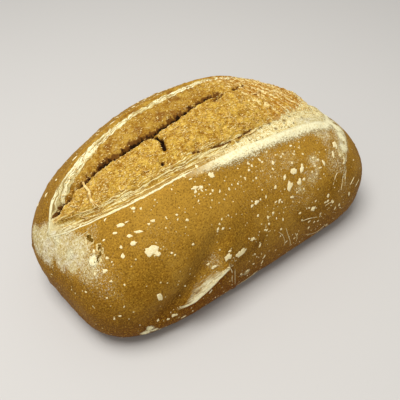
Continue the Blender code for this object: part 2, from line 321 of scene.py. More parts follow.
FLAKE_COUNT = 5200
FLAKE_LENGTH = 0.0017
FLAKE_MARGIN = 0.0015
SLANTED_FLAKES_START = 0.035
STRAND_SIDES = 6
STRAND_STEPS = 6

# Photograph: image size in pixels, and the camera fitted to the loaf's outline in it.
PHOTO_SIZE = 400
FOCAL_PIXELS = 471.17
CAMERA_AZIMUTH = math.radians(40.892)
CAMERA_ELEVATION = math.radians(46.252)
CAMERA_ROLL = math.radians(-0.338)
CAMERA_DISTANCE = 0.35059
CAMERA_AIM = (-0.014723, -0.010837, 0.045)
SENSOR_MM = 36.0


# Shape helpers


def smooth(low, high, value):
    """Rises smoothly from 0 at low to 1 at high."""
    share = np.clip((value - low) / (high - low), 0.0, 1.0)
    return share * share * (3.0 - 2.0 * share)


def between(ends, share):
    """The value at the given share of the way between two ends."""
    return ends[0] + (ends[1] - ends[0]) * share


def bump(distance, width):
    """A smooth hump of height 1, which has sunk to about a third at the given width."""
    return np.exp(-((distance / width) ** 2))


def noise_field(points, size, shift):
    """Smooth noise from about -1 to 1, with features of the given size."""
    places = points / size + np.array([shift, 1.7 * shift, -2.3 * shift])
    return np.array([noise.noise(place) for place in places.tolist()])


def noise_along(x, size, shift):
    """Smooth noise that changes only along the loaf."""
    return noise_field(np.stack([x, np.zeros_like(x), np.zeros_like(x)], axis=1), size, shift)


def line_share(u, v, start, end):
    """How far along the line from start to end each point (u, v) is, and how far to its left."""
    du, dv = end[0] - start[0], end[1] - start[1]
    length = math.hypot(du, dv)
    along = ((u - start[0]) * du + (v - start[1]) * dv) / length
    left = ((v - start[1]) * du - (u - start[0]) * dv) / length
    return along / length, left


def distance_to_line(u, v, corners):
    """Shortest distance from each point (u, v) to a line through the corners."""
    nearest = np.full(u.shape, 1.0)
    for (u0, v0), (u1, v1) in zip(corners[:-1], corners[1:]):
        du, dv = u1 - u0, v1 - v0
        share = np.clip(((u - u0) * du + (v - v0) * dv) / (du * du + dv * dv), 0.0, 1.0)
        nearest = np.minimum(nearest, np.hypot(u - u0 - share * du, v - v0 - share * dv))
    return nearest


# The solid's surface


def bend(points):
    """Tapers and bows the rounded block."""
    along = points[:, 0] / HALF_LENGTH
    points[:, 1] = points[:, 1] * (1.0 + WIDTH_TAPER * along) + SIDEWAYS_BOW * (1.0 - along**2)
    points[:, 2] *= 1.0 + HEIGHT_TAPER * along
    return points


def body_surface(directions):
    """Points of the smooth loaf in the given directions from its middle."""
    up = directions[:, 2] > 0
    reach = np.where(up, CROWN_HEIGHT - BELLY_HEIGHT, BELLY_HEIGHT + UNDERCUT)
    power = np.where(up, CROWN_POWER, UNDERSIDE_POWER)
    plan = (np.abs(directions[:, 0]) / HALF_LENGTH) ** PLAN_POWER
    plan += (np.abs(directions[:, 1]) / HALF_WIDTH) ** PLAN_POWER
    size = plan ** (power / PLAN_POWER) + (np.abs(directions[:, 2]) / reach) ** power
    points = directions / (size ** (1.0 / power))[:, None]
    points[:, 2] += BELLY_HEIGHT
    return bend(points)


def crown_surface(x, y):
    """Points of the smooth loaf's upper half over the given places."""
    along = x / HALF_LENGTH
    across = (y - SIDEWAYS_BOW * (1.0 - along**2)) / (1.0 + WIDTH_TAPER * along)
    plan = np.abs(along) ** PLAN_POWER + np.abs(across / HALF_WIDTH) ** PLAN_POWER
    height = np.clip(1.0 - plan ** (CROWN_POWER / PLAN_POWER), 0.0, 1.0) ** (1.0 / CROWN_POWER)
    z = BELLY_HEIGHT + (CROWN_HEIGHT - BELLY_HEIGHT) * height
    return bend(np.stack([x, across, z], axis=1))


def shaping_relief(points):
    """Slow unevenness of the hand-shaped body."""
    relief = UNEVEN_RELIEF * noise_field(points, UNEVEN_SIZE, 1.0)
    for centre, rise, reach in SWELLINGS:
        relief += rise * bump(np.linalg.norm(points - np.array(centre), axis=1), reach)
    return relief


def front_edge(x):
    """Y of the front side of the opening at each x."""
    near = FRONT_NARROWING * np.exp((NEAR_START - x) / FRONT_NARROWING_LENGTH)
    far = FAR_NARROWING * smooth(FAR_TIP - FAR_ROUNDING, FAR_TIP, x)
    return FRONT_EDGE_Y + near + far


def back_edge(x):
    """Y of the back side of the opening at each x."""
    near = BACK_NARROWING * np.exp((NEAR_START - x) / BACK_NARROWING_LENGTH)
    far = FAR_NARROWING * smooth(FAR_TIP - FAR_ROUNDING, FAR_TIP, x)
    return BACK_EDGE_Y - near - far


def crevice_line(x):
    """Y of the deep tear at each x."""
    line = CREVICE_Y + CREVICE_SWAY * np.cos(2.0 * math.pi * (x - CREVICE_SWAY_START) / CREVICE_SWAY_LENGTH)
    for number, (height, size) in enumerate(CREVICE_WOBBLES):
        line += height * noise_along(x, size, 3.1 + 5.3 * number)
    return line


def score_fields(points, normals):
    """Where each point lies in the score."""
    x, y = points[:, 0], points[:, 1]
    ends = smooth(NEAR_TIP, NEAR_TIP + TIP_BLEND, x) * (1.0 - smooth(FAR_TIP - TIP_BLEND, FAR_TIP, x))
    front, back, tear = front_edge(x), back_edge(x), crevice_line(x)
    sides = smooth(0.0, EDGE_BLEND, y - front) * smooth(0.0, EDGE_BLEND / 2.0, back - y)
    split = smooth(NEAR_TIP, NEAR_TIP + TIP_BLEND, x) - smooth(CREVICE_END - CREVICE_FADE, CREVICE_END, x)
    top = smooth(*TOP_FACING, normals[:, 2])
    return SimpleNamespace(
        x=x, y=y, front=front, back=back, tear=tear, ends=ends, inside=sides * ends, split=split, top=top
    )


def bloom_relief(s):
    """The risen crumb: one swell up to the crevice, and one across the whole score past its end."""
    share = np.clip((s.y - s.front) / (s.tear - s.front), 0.0, 1.0)
    beside_tear = np.sin(math.pi * share**0.8) * (s.y < s.tear)
    whole = np.sin(math.pi * np.clip((s.y - s.front) / (s.back - s.front), 0.0, 1.0))
    return BLOOM_RISE * (beside_tear * s.split + whole * (1.0 - s.split))


def flap_relief(s):
    """The back flap's inner side, which slopes down to the crevice."""
    share = np.clip((s.y - s.tear) / np.maximum(s.back - s.tear, 0.002), 0.0, 1.0)
    return -FLAP_SINK * (1.0 - share) * (s.y >= s.tear) * s.split


def crevice_shape(s):
    """How deep the tear is at each point, from 0 to about 1."""
    away = s.y - s.tear
    wall = np.where(away < 0, CREVICE_FRONT_WIDTH, CREVICE_BACK_WIDTH)
    return np.exp(-((np.abs(away) / wall) ** 1.5)) * s.split


def crevice_relief(s):
    depth = CREVICE_DEPTH * 0.85 + CREVICE_DEPTH_CHANGE * noise_along(s.x, 0.009, 5.0)
    return -depth * crevice_shape(s)


def cross_shape(s):
    """How deep the short cross tear and the pit beyond it are at each point, from 0 to 1."""
    tear = bump(distance_to_line(s.x, s.y, CROSS_TEAR), CROSS_WIDTH)
    pit = bump(np.hypot(s.x - CROSS_PIT[0], s.y - CROSS_PIT[1]), CROSS_PIT_REACH)
    return np.maximum(tear, 0.6 * pit)


def strand_noise(points):
    """Noise drawn out along the torn strands of the far end."""
    x, y, z = points.T
    across, along = x + STRAND_SLANT * y, y - STRAND_SLANT * x
    slanted = np.stack([across, along / STRAND_STRETCH, z / STRAND_STRETCH], axis=1)
    return noise_field(slanted, STRAND_SIZE, 23.0)


def strand_crests(points):
    return bump(strand_noise(points), 0.11)


def torn_texture(points):
    """Crags and pits of the torn crumb, and at the far end the strands that it tore into."""
    crags = CRAG_RELIEF * (0.45 - 2.2 * np.abs(noise_field(points, CRAG_SIZE, 11.0)))
    pits = PIT_RELIEF * noise_field(points, PIT_SIZE, 17.0)
    strands = STRAND_RELIEF * (0.45 - 1.9 * np.abs(strand_noise(points)))
    return crags + pits + strands * smooth(*STRAND_START, points[:, 0])


def crust_edges(s):
    """The lip along the back flap, and the swollen band along the front side."""
    lip = FLAP_LIP * bump(s.y - s.back, FLAP_LIP_WIDTH) * (1.0 - smooth(*FLAP_LIP_FADE, s.x))
    band = BAND_RISE * bump(s.y - s.front + BAND_OFFSET, BAND_WIDTH)
    return (lip + band) * s.ends


def score_relief(points, s):
    """Height of the torn score above the smooth loaf."""
    torn = bloom_relief(s) + flap_relief(s) + crevice_relief(s) + torn_texture(points)
    torn -= CROSS_DEPTH * cross_shape(s)
    return (torn * s.inside + crust_edges(s)) * s.top


def fold_relief(points, normals):
    """The pinched fold on the front side: a hollow, a lip under it, and the skin tucked in under the lip."""
    x, z = points[:, 0], points[:, 2]
    share, above = line_share(x, z, LIP_FOOT, LIP_TOP)
    window = smooth(*LIP_START, share) * (1.0 - smooth(*LIP_STOP, share))
    upper = smooth(-TUCK_STEP, 0.0, above)
    lip = LIP_RISE * bump(above, LIP_REACH) * upper
    tuck = TUCK_DEPTH * np.exp(np.minimum(above, 0.0) / TUCK_REACH) * (1.0 - upper)
    hollow = HOLLOW_DEPTH * bump(distance_to_line(x, z, (HOLLOW_FOOT, HOLLOW_TOP)), HOLLOW_WIDTH)
    hollow *= 1.0 - window * bump(above, LIP_REACH)
    return ((lip - tuck) * window - hollow) * smooth(*FRONT_FACING, -normals[:, 1])


def settle(points):
    """Rounds the underside into the flat base, and centres the loaf over the origin."""
    z = points[:, 2]
    rounded = (z + np.sqrt(z * z + BASE_ROUNDING**2)) / 2.0 - BASE_CUT
    points[:, 2] = np.maximum(rounded, 0.0)
    points[:, :2] -= np.array(MIDDLE)
    return points


# Mesh helpers


def vertex_rows(shape, what):
    return np.array([getattr(vertex, what)[:] for vertex in shape.verts])


def place_vertices(shape, points):
    for vertex, place in zip(shape.verts, points.tolist()):
        vertex.co = place
    shape.normal_update()


def finish_mesh(shape, name, values):
    """Makes an object of the mesh, with a value at each vertex for each named mask."""
    mesh = bpy.data.meshes.new(name)
    shape.to_mesh(mesh)
    shape.free()
    for mask, numbers in values.items():
        mesh.attributes.new(mask, "FLOAT", "POINT").data.foreach_set("value", numbers.astype(np.float32))
    mesh.shade_smooth()
    piece = bpy.data.objects.new(name, mesh)
    bpy.context.scene.collection.objects.link(piece)
    return piece


def depth_inside_score(x, y):
    """How far each place lies inside the opening, with a wandering border. Negative outside."""
    inward = np.minimum(y - front_edge(x), back_edge(x) - y)
    inward = np.minimum(inward, np.minimum(x - NEAR_TIP, FAR_TIP - x))
    flat = np.stack([x, y, np.zeros_like(x)], axis=1)
    return inward + EDGE_WANDER * noise_field(flat, EDGE_WANDER_SIZE, 41.0)


# Crust piece


def box_grid(divisions):
    """A box surface cut into the given number of divisions along X, Y and Z."""
    shape = bmesh.new()
    bmesh.ops.create_cube(shape, size=2.0)
    for axis, number in enumerate(divisions):
        along = [e for e in shape.edges if abs(e.verts[0].co[axis] - e.verts[1].co[axis]) > 1.0]
        bmesh.ops.subdivide_edges(shape, edges=along, cuts=number - 1)
    return shape


def smooth_crust():
    """The smooth loaf's surface, without what the crumb hides, and finer along the score."""
    shape = box_grid(CRUST_GRID)
    spread = np.tan(vertex_rows(shape, "co") * math.pi / 4.0)
    place_vertices(shape, body_surface(spread / np.linalg.norm(spread, axis=1)[:, None]))
    middles = np.array([face.calc_center_median()[:] for face in shape.faces])
    top = middles[:, 2] > BELLY_HEIGHT
    inward = depth_inside_score(middles[:, 0], middles[:, 1])
    hidden = [f for f, gone in zip(shape.faces, top & (inward > HIDDEN_MARGIN)) if gone]
    rim = [f for f, near in zip(shape.faces, top & (inward > -EDGE_REACH) & (inward < HIDDEN_MARGIN)) if near]
    edges = list({edge for face in rim for edge in face.edges})
    bmesh.ops.delete(shape, geom=hidden, context="FACES")
    bmesh.ops.subdivide_edges(shape, edges=edges, cuts=1, use_grid_fill=True)
    for _ in range(2):
        middles = np.array([face.calc_center_median()[:] for face in shape.faces])
        share, above = line_share(middles[:, 0], middles[:, 2], LIP_FOOT, LIP_TOP)
        beside = (middles[:, 1] < -0.03) & (abs(above) < LIP_FINE) & (abs(share - 0.5) < 0.65)
        edges = list({edge for face, near in zip(shape.faces, beside) if near for edge in face.edges})
        bmesh.ops.subdivide_edges(shape, edges=edges, cuts=1, use_grid_fill=True)
    shape.normal_update()
    return shape


def crust_skin(points):
    """Ripples, dimples and small blisters of the baked skin."""
    ripples = 0.00035 * noise_field(points, 0.011, 31.0)
    dimples = 0.00016 * noise_field(points, 0.0034, 37.0)
    blisters = 0.00055 * smooth(0.42, 0.75, noise_field(points, 0.0062, 43.0))
    return ripples + dimples + blisters


def cast(tree, pixel):
    """Where the photograph's pixel falls on the surface, or the nearest place where it just misses."""
    right, up, forward = camera_axes()
    across, down = pixel[0] - PHOTO_SIZE / 2, pixel[1] - PHOTO_SIZE / 2
    ray = (forward * FOCAL_PIXELS + right * across - up * down).normalized()
    place, normal, _, distance = tree.ray_cast(camera_place(), ray)
    if place is None:
        place, normal, _, _ = tree.find_nearest(camera_place() + ray * CAMERA_DISTANCE)
        distance = (place - camera_place()).length
    return place, normal, distance


def patch_mask(points, tree, patches):
    """How strongly each point is covered by soft round patches with ragged borders."""
    mask = np.zeros(len(points))
    ragged = 0.26 * noise_field(points, 0.008, 61.0) + 0.16 * noise_field(points, 0.0028, 67.0)
    for pixel, reach, strength in patches:
        place = np.array(cast(tree, pixel)[0])
        share = np.linalg.norm(points - place, axis=1) / reach + ragged
        mask = np.maximum(mask, strength * (1.0 - smooth(0.25, 1.35, share)))
    return mask


def trail_mask(points, tree, trails):
    """How strongly each point is covered by soft lines."""
    mask = np.zeros(len(points))
    wander = 1.0 + 0.35 * noise_field(points, 0.0035, 71.0)
    for pixels, width, strength in trails:
        corners = [np.array(cast(tree, pixel)[0]) for pixel in pixels]
        for start, end in zip(corners[:-1], corners[1:]):
            step = end - start
            share = np.clip((points - start) @ step / (step @ step), 0.0, 1.0)
            away = np.linalg.norm(points - start - share[:, None] * step, axis=1)
            mask = np.maximum(mask, strength * bump(away, width * wander))
    return mask


def opening_masks(s):
    """Where each point lies beside the opening, in millimetres or as shares from 0 to 1."""
    inside_front, inside_back = s.y - s.front, s.back - s.y
    crest, foot, rim = (np.interp(s.x, *zip(*curve)) for curve in (CREST_REACH, FOOT_REACH, RIM_REACH))
    streak = 1.0 - smooth(0.30, 1.0, inside_front / between(STREAK_REACH, smooth(*STREAK_NARROWING, s.x)))
    inset = between(RIDGE_INSET, smooth(*RIDGE_INSET_START, s.x))
    reach = between(RIDGE_REACH, smooth(*RIDGE_THINNING, s.x))
    ridge = 1.0 - smooth(0.7, 1.25, np.abs(inside_back - inset) / reach)
    along = smooth(NEAR_TIP - 0.008, NEAR_TIP + 0.002, s.x) * (1.0 - smooth(FAR_TIP, FAR_TIP + 0.006, s.x))
    return {
        "streak": streak * along * s.top,
        "ridge": ridge * along * s.top,
        "along": along * s.top,
        "filling": smooth(*BAND_FILLING, s.x),
        "beside": np.where(inside_front < inside_back, inside_front, 40.0 - inside_back) * MM,
        "front": inside_front * MM,
        "line": (inside_front + crest) * MM,
        "share": -(inside_front + crest) / (np.maximum(foot, crest + 0.002) - crest),
        "rim": np.minimum(rim - inside_front, inside_back - 0.006) * MM,
        "porous": smooth(*RIM_START, s.x),
    }


def fold_masks(points):
    """Where the side is beside the pinched fold's lip: millimetres above it, and how near its length."""
    x, z = points[:, 0] + MIDDLE[0], points[:, 2]
    share, above = line_share(x, z, LIP_FOOT, LIP_TOP)
    window = smooth(-0.02, 0.16, share) * (1.0 - smooth(0.90, 1.04, share))
    return {"lip": above * MM, "fold": window * (points[:, 1] < -0.03), "lip_share": share}


def chip_distance(points, tree):
    """How far each point is from the chipped pits, in shares of their reach, and how deep it sinks."""
    nearest, depth = np.full(len(points), 4.0), np.zeros(len(points))
    for pixel, reach, drop in CHIPS:
        share = np.linalg.norm(points - np.array(cast(tree, pixel)[0]), axis=1) / reach
        nearest = np.minimum(nearest, share)
        depth = np.maximum(depth, drop * (1.0 - smooth(0.5, 1.3, share)))
    return nearest, depth


def flatten_underside(shape):
    """Joins the flat base into one face. Returns each remaining vertex's earlier number."""
    number = shape.verts.layers.int.new("number")
    for row, vertex in enumerate(shape.verts):
        vertex[number] = row
    base = [face for face in shape.faces if all(vertex.co.z < 1e-6 for vertex in face.verts)]
    bmesh.ops.dissolve_faces(shape, faces=base, use_verts=True)
    rows = [vertex[number] for vertex in shape.verts]
    shape.verts.layers.int.remove(number)
    return rows


def crust_masks(points, s, tree):
    """Where each vertex lies beside the opening and the fold, with its flour, dust, painted shade and darker
    skin, and height.
    """
    masks = opening_masks(s) | fold_masks(points)
    layers = {"flour": (FLOUR_PATCHES, FLOUR_TRAILS), "dust": (DUST_PATCHES, DUST_TRAILS)}
    for name, (patches, trails) in layers.items():
        masks[name] = np.maximum(patch_mask(points, tree, patches), trail_mask(points, tree, trails))
    # Painted shade along the trails; darker skin behind the opening's back side, higher up.
    masks["dark"] = trail_mask(points, tree, PAINTED_SHADE_TRAILS)
    behind = smooth(0.001, 0.008, s.y - s.back) * smooth(0.020, 0.060, points[:, 2])
    masks["dark"] = np.maximum(masks["dark"], 0.30 * behind)
    masks["height"] = points[:, 2] / CROWN_HEIGHT
    return masks


def make_crust():
    shape = smooth_crust()
    points, normals = vertex_rows(shape, "co"), vertex_rows(shape, "normal")
    s = score_fields(points, normals)
    inward = np.where(points[:, 2] > BELLY_HEIGHT, depth_inside_score(s.x, s.y), -1.0)
    relief = shaping_relief(points) + score_relief(points, s) + fold_relief(points, normals)
    relief += crust_skin(points) * (1.0 - s.inside) + SKIN_PROUD - INSET
    relief -= DIVE_DEPTH * smooth(0.0, DIVE_REACH, inward)
    settled = settle(points + normals * relief[:, None])
    place_vertices(shape, settled)
    tree = BVHTree.FromBMesh(shape)
    masks = crust_masks(settled, s, tree)
    masks["chip"], depth = chip_distance(settled, tree)
    place_vertices(shape, settled - normals * depth[:, None])
    rows = flatten_underside(shape)
    return finish_mesh(shape, "loaf_crust", {name: values[rows] for name, values in masks.items()}), tree


# Crumb piece


def crumb_grid():
    """Places of the torn crumb's grid lines, which follow the sides of the opening."""
    along, across = CRUMB_GRID
    x = np.linspace(NEAR_TIP - CRUMB_MARGIN, FAR_TIP + CRUMB_MARGIN, along)
    share = np.linspace(0.0, 1.0, across)[None, :]
    front, back = front_edge(x)[:, None] - CRUMB_MARGIN, back_edge(x)[:, None] + CRUMB_MARGIN
    y = front + (back - front) * share
    return np.repeat(x, across), y.reshape(-1)


def grid_shape(points, along, across):
    """A sheet of quads through the points, in rows of the given length."""
    shape = bmesh.new()
    rows = np.array([shape.verts.new(place) for place in points.tolist()]).reshape(along, across)
    for row, after in zip(rows[:-1], rows[1:]):
        for a, b, c, d in zip(row[:-1], after[:-1], after[1:], row[1:]):
            shape.faces.new((a, b, c, d))
    shape.normal_update()
    return shape


def crumb_detail(points, s, streak):
    """Fine torn ridges, grains and pores of the crumb, and low ridges where the skin was stretched."""
    x, y, z = points.T
    stretched = np.stack([x * 0.45, y, z], axis=1)
    ridges = 0.0005 * (0.5 - 1.9 * np.abs(noise_field(stretched, 0.0026, 51.0)))
    grains = 0.00030 * noise_field(points, 0.0012, 53.0)
    pores = -0.0007 * smooth(0.45, 0.75, noise_field(points, 0.0024, 57.0))
    beside = np.stack([s.y - s.front, x / 14.0, np.zeros_like(x)], axis=1)
    lines = 0.00042 * noise_field(beside, 0.0011, 59.0)
    return (ridges + grains + pores) * (1.0 - 0.65 * streak) + lines * streak


def crevice_painted_shade(points, s):
    """Painted shade in the torn depths: how dark the crevice, the cross tear and the small cracks are
    painted.
    """
    rag = noise_field(points, 0.0024, 85.0) + 0.7 * noise_field(points, 0.0010, 89.0)
    above, away = s.y - s.tear, smooth(*CREVICE_TIP, s.x)
    least = between(CREVICE_SHADE_LEAST, away)
    shade = np.clip(CREVICE_SHADE_SHARE * (s.back - s.tear), least, CREVICE_SHADE)
    shade *= 0.70 + 0.30 * smooth(-0.117, -0.108, s.x)
    waves = 0.45 * noise_along(s.x, 0.011, 87.0) + 0.40 * noise_field(points, 0.0058, 91.0) + 0.30 * rag
    shade *= 1.0 + waves * between((0.35, 1.0), away)
    share = np.abs(above) / np.where(above < 0, LOWER_SHADE, np.maximum(shade, 0.0010))
    # Painted shade: wide on the flap's wall above the tear, thin below it.
    crevice = (1.0 - smooth(0.80 - 0.55 * away, 1.40 + 0.20 * away, share)) * s.split
    crevice *= 1.0 - 0.55 * smooth(0.12, 0.50, noise_field(points, 0.0019, 93.0))
    # Painted shade in the cross tear and the small cracks.
    cross = smooth(0.22, 0.62, cross_shape(s) + 0.24 * rag)
    cracks = np.zeros_like(s.x)
    for corners, width in SIDE_CRACKS:
        cracks = np.maximum(cracks, bump(distance_to_line(s.x, s.y, corners) + 0.0005 * rag, width))
    return np.maximum(np.maximum(crevice, cross), cracks * 0.62), cracks


def crumb_masks(points, s, painted_crevice_shade):
    """Where each vertex lies beside the opening, with its painted crevice shade, flour, flap side and
    strands.
    """
    masks = opening_masks(s)
    masks["strand"] = strand_crests(points) * smooth(*STRAND_START, s.x)
    masks["rim"] += 4.5 * masks["strand"] * smooth(*FAR_STRANDS, s.x)
    beside = smooth(-8.0, 0.0, masks["rim"]) * smooth(0.01, 0.05, s.x)
    masks["dust"] = np.maximum(0.40 * beside, 0.85 * (1.0 - smooth(-0.117, -0.107, s.x)))
    masks["flour"] = 0.55 * smooth(*FAR_FLOUR, s.x)
    # Patches of painted shade on the flap.
    masks["flap_shade_patches"] = smooth(0.05, 0.45, noise_field(points, 0.0085, 97.0))
    # The depth mask carries the painted shade of the crevice, cross tear and cracks.
    masks["depth"] = painted_crevice_shade
    masks["flap"] = smooth(0.0, 0.004, s.y - s.tear) * s.split
    masks["far"] = smooth(0.010, 0.070, s.x)
    return masks


def make_crumb():
    x, y = crumb_grid()
    points = crown_surface(x, y)
    shape = grid_shape(points, *CRUMB_GRID)
    normals = vertex_rows(shape, "normal")
    s = score_fields(points, normals)
    s.tear = s.tear + TEAR_RAG * (noise_field(points, 0.0030, 81.0) + 0.7 * noise_field(points, 0.0012, 83.0))
    inward = depth_inside_score(s.x, s.y)
    # Painted shade of the crevice, cross tear and cracks, and where the cracks lie.
    painted_crevice_shade, cracks = crevice_painted_shade(points, s)
    masks = crumb_masks(points, s, painted_crevice_shade)
    relief = shaping_relief(points) + score_relief(points, s) - INSET
    relief += crumb_detail(points, s, masks["streak"]) * s.inside - CRACK_DEPTH * cracks * s.inside
    relief -= CRUMB_TUCK * (1.0 - smooth(-0.0035, -0.0012, inward))
    place_vertices(shape, settle(points + normals * relief[:, None]))
    return finish_mesh(shape, "loaf_crumb", masks)


# Torn flakes of crumb


def next_round(ring):
    return ring[1:] + ring[:1]


def join_rings(shape, rings):
    """Joins each ring of corners to the next with quads."""
    for first, second in zip(rings[:-1], rings[1:]):
        for corners in zip(first, next_round(first), next_round(second), second):
            shape.faces.new(corners)


def close_ring(shape, ring, tip):
    """Closes a ring of corners with triangles to a tip."""
    for first, second in zip(ring, next_round(ring)):
        shape.faces.new((first, second, tip))


def add_shard(shape, place, along, normal, length, width, lift):
    """Adds a slim pointed flake, which starts under the surface and ends above it."""
    side = normal.cross(along).normalized()
    start = shape.verts.new(place - along * length * 0.5 - normal * 0.0002)
    end = shape.verts.new(place + along * length * 0.5 + normal * lift)
    rings = []
    for share, fullness in ((-0.2, 0.9), (0.15, 1.0)):
        middle = place + along * length * share + normal * lift * (0.35 + share)
        corners = (side * width, normal * width * 0.6, -side * width, -normal * width * 0.6)
        rings.append([shape.verts.new(middle + corner * fullness) for corner in corners])
    close_ring(shape, rings[0][::-1], start)
    join_rings(shape, rings)
    close_ring(shape, rings[1], end)


def flake_direction(x, chance):
    """Direction in plan: along the loaf, and along the torn strands near the far end."""
    if x > SLANTED_FLAKES_START and chance.random() < 0.8:
        turned = Vector((chance.gauss(0.0, 0.30), chance.gauss(0.0, 0.2), 0.0))
        return Vector((-STRAND_SLANT, 1.0, 0.0)) + turned
    return Vector((1.0, chance.gauss(0.0, 0.45), 0.0)) * chance.choice((-1.0, 1.0))


def opening_depth(place):
    """How far a place on the centred loaf lies inside the opening."""
    return depth_inside_score(np.array([place.x + MIDDLE[0]]), np.array([place.y + MIDDLE[1]]))[0]


def strand_path(places, lift):
    """Points of a smooth curve through the places, raised in its middle."""
    steps = STRAND_STEPS * (len(places) - 1)
    path = []
    for step in range(steps + 1):
        at = step / steps * (len(places) - 1)
        low = min(int(at), len(places) - 2)
        share = at - low
        before, after = places[max(low - 1, 0)], places[min(low + 2, len(places) - 1)]
        start, end = places[low], places[low + 1]
        bend_in, bend_out = (end - before) * 0.5, (after - start) * 0.5
        place = start * (2 * share**3 - 3 * share**2 + 1) + bend_in * (share**3 - 2 * share**2 + share)
        place += end * (3 * share**2 - 2 * share**3) + bend_out * (share**3 - share**2)
        path.append(place + Vector((0.0, 0.0, lift * math.sin(math.pi * step / steps) ** 0.7)))
    return path


def add_strand(shape, tree, pixels, width, lift):
    """Adds a tapering strand through the given pixels, raised off the surface in its middle."""
    path = strand_path([Vector(cast(tree, pixel)[0]) for pixel in pixels], lift)
    steps = len(path) - 1
    rings = []
    for step, place in enumerate(path):
        ahead = (path[min(step + 1, steps)] - path[max(step - 1, 0)]).normalized()
        side = ahead.cross(Vector((0.0, 0.0, 1.0))).normalized()
        over = side.cross(ahead)
        fullness = width * (0.25 + 0.75 * math.sin(math.pi * min(1.0, (step + 1.5) / (steps + 2))) ** 0.6)
        fullness *= 1.0 + 0.5 * noise.noise(place * 700.0)
        ring = []
        for number in range(STRAND_SIDES):
            turn = 2.0 * math.pi * number / STRAND_SIDES
            offset = side * math.cos(turn) + over * math.sin(turn) * 0.6
            ring.append(shape.verts.new(place + offset * fullness * 0.5))
        rings.append(ring)
    join_rings(shape, rings)
    shape.faces.new(rings[0][::-1])
    shape.faces.new(rings[-1])


def make_strands(crumb):
    """The few larger strands and curls that the photograph shows on the crumb."""
    tree = BVHTree.FromObject(crumb, bpy.context.evaluated_depsgraph_get())
    shape = bmesh.new()
    for pixels, width, lift in DOUGH_STRANDS:
        add_strand(shape, tree, pixels, width, lift)
    shape.normal_update()
    return finish_mesh(shape, "dough_strands", {})


def make_flakes(crumb):
    """Small torn flakes all over the crumb, sparser on the flap and where the skin is stretched."""
    chance = random.Random(FLAKE_SEED)
    mesh = crumb.data
    values = [mesh.attributes[name].data for name in ("depth", "streak", "flap")]
    shape = bmesh.new()
    added = 0
    while added < FLAKE_COUNT:
        face = chance.choice(mesh.polygons)
        depth, streak, flap = (value[face.vertices[0]].value for value in values)
        # The depth mask is the crevice's painted shade; flakes are fewer where it is dark.
        sparser = max(streak * 0.85, flap * 0.5, depth * 1.5)
        if opening_depth(face.center) < FLAKE_MARGIN or chance.random() < sparser:
            continue
        normal = face.normal.copy()
        along = flake_direction(face.center.x + MIDDLE[0], chance)
        along = (along - normal * along.dot(normal)).normalized()
        length = FLAKE_LENGTH * chance.uniform(0.6, 1.5)
        width, lift = length * chance.uniform(0.09, 0.17), length * chance.uniform(0.05, 0.30)
        add_shard(shape, face.center.copy(), along, normal, length, width, lift)
        added += 1
    shape.normal_update()
    return finish_mesh(shape, "crumb_flakes", {})


# Flour spots and specks


def add_fleck(shape, tree, place, normal, right, long, wide, thickness, chance):
    """Adds a thin fleck of flour with a ragged outline, which follows the surface under it."""
    side = normal.cross(right).normalized()
    right = side.cross(normal).normalized()
    segments = 9 + int(min(long, 0.006) * 3000)
    phase = chance.uniform(0.0, 50.0)
    rings = []
    for share, height in SPOT_PROFILE:
        ring = []
        for number in range(segments):
            turn = 2.0 * math.pi * number / segments
            over, beside = math.cos(turn), math.sin(turn)
            ragged = 1.0
            for reach, pace, shifted in SPOT_RAGGEDNESS:
                shift = (phase, 0.0) if shifted else (0.0, phase)
                ragged += reach * noise.noise((over * pace + shift[0], beside * pace + shift[1], phase))
            offset = right * over * long + side * beside * wide
            above = place + offset * share * max(ragged, 0.30) + normal * 0.003
            hit = tree.ray_cast(above, -normal, 0.008)[0] or tree.find_nearest(above)[0]
            ring.append(shape.verts.new(hit + normal * thickness * height))
        rings.append(ring)
    join_rings(shape, rings)
    centre = sum((corner.co for corner in rings[-1]), Vector()) / segments + normal * thickness * 0.1
    close_ring(shape, rings[-1], shape.verts.new(centre))


def add_photo_spots(shape, tree, chance):
    """The larger flour spots, each at its pixel of the photograph."""
    right, up, forward = camera_axes()
    for pixel, long, wide, turn in FLOUR_SPOTS:
        place, normal, distance = cast(tree, pixel)
        pixel_size = distance / FOCAL_PIXELS
        angle = math.radians(turn)
        along = right * math.cos(angle) + up * math.sin(angle)
        lift = min(1.5, 1.0 / max(0.3, -normal.dot(forward)))
        stretch = (long * 0.5 * pixel_size, wide * 0.5 * pixel_size * lift)
        add_fleck(shape, tree, place, normal, along, *stretch, SPOT_THICKNESS, chance)


def add_specks(shape, tree, crust, chance):
    """Small specks of flour all over the crust, more of them towards the far end."""
    faces = [face for face in crust.data.polygons if face.center.z > SPECK_LOWEST]
    added = 0
    while added < SPECK_COUNT:
        face = chance.choice(faces)
        if face.center.z > BELLY_HEIGHT * 1.5 and opening_depth(face.center) > SPECK_MARGIN:
            continue
        crowd = 0.30 + 0.70 * (face.center.x + HALF_LENGTH) / (2.0 * HALF_LENGTH)
        crowd *= 0.35 + 1.6 * max(0.0, 0.35 + noise.noise(face.center / 0.014))
        if chance.random() > crowd:
            continue
        size = between(SPECK_SIZES, chance.random() ** 3)
        normal = face.normal.copy()
        along = normal.cross(Vector([chance.uniform(-1, 1) for _ in range(3)])).normalized()
        long, wide = size * chance.uniform(0.9, 1.6), size * chance.uniform(0.6, 1.0)
        add_fleck(shape, tree, face.center.copy(), normal, along, long, wide, SPECK_THICKNESS, chance)
        added += 1


def make_flour_spots(tree, crust):
    chance = random.Random(SPECK_SEED)
    shape = bmesh.new()
    for pixels, width in FLOUR_LINES:
        add_strand(shape, tree, pixels, width, 0.0)
    add_photo_spots(shape, tree, chance)
    add_specks(shape, tree, crust, chance)
    shape.normal_update()
    return finish_mesh(shape, "flour_spots", {})


# Materials


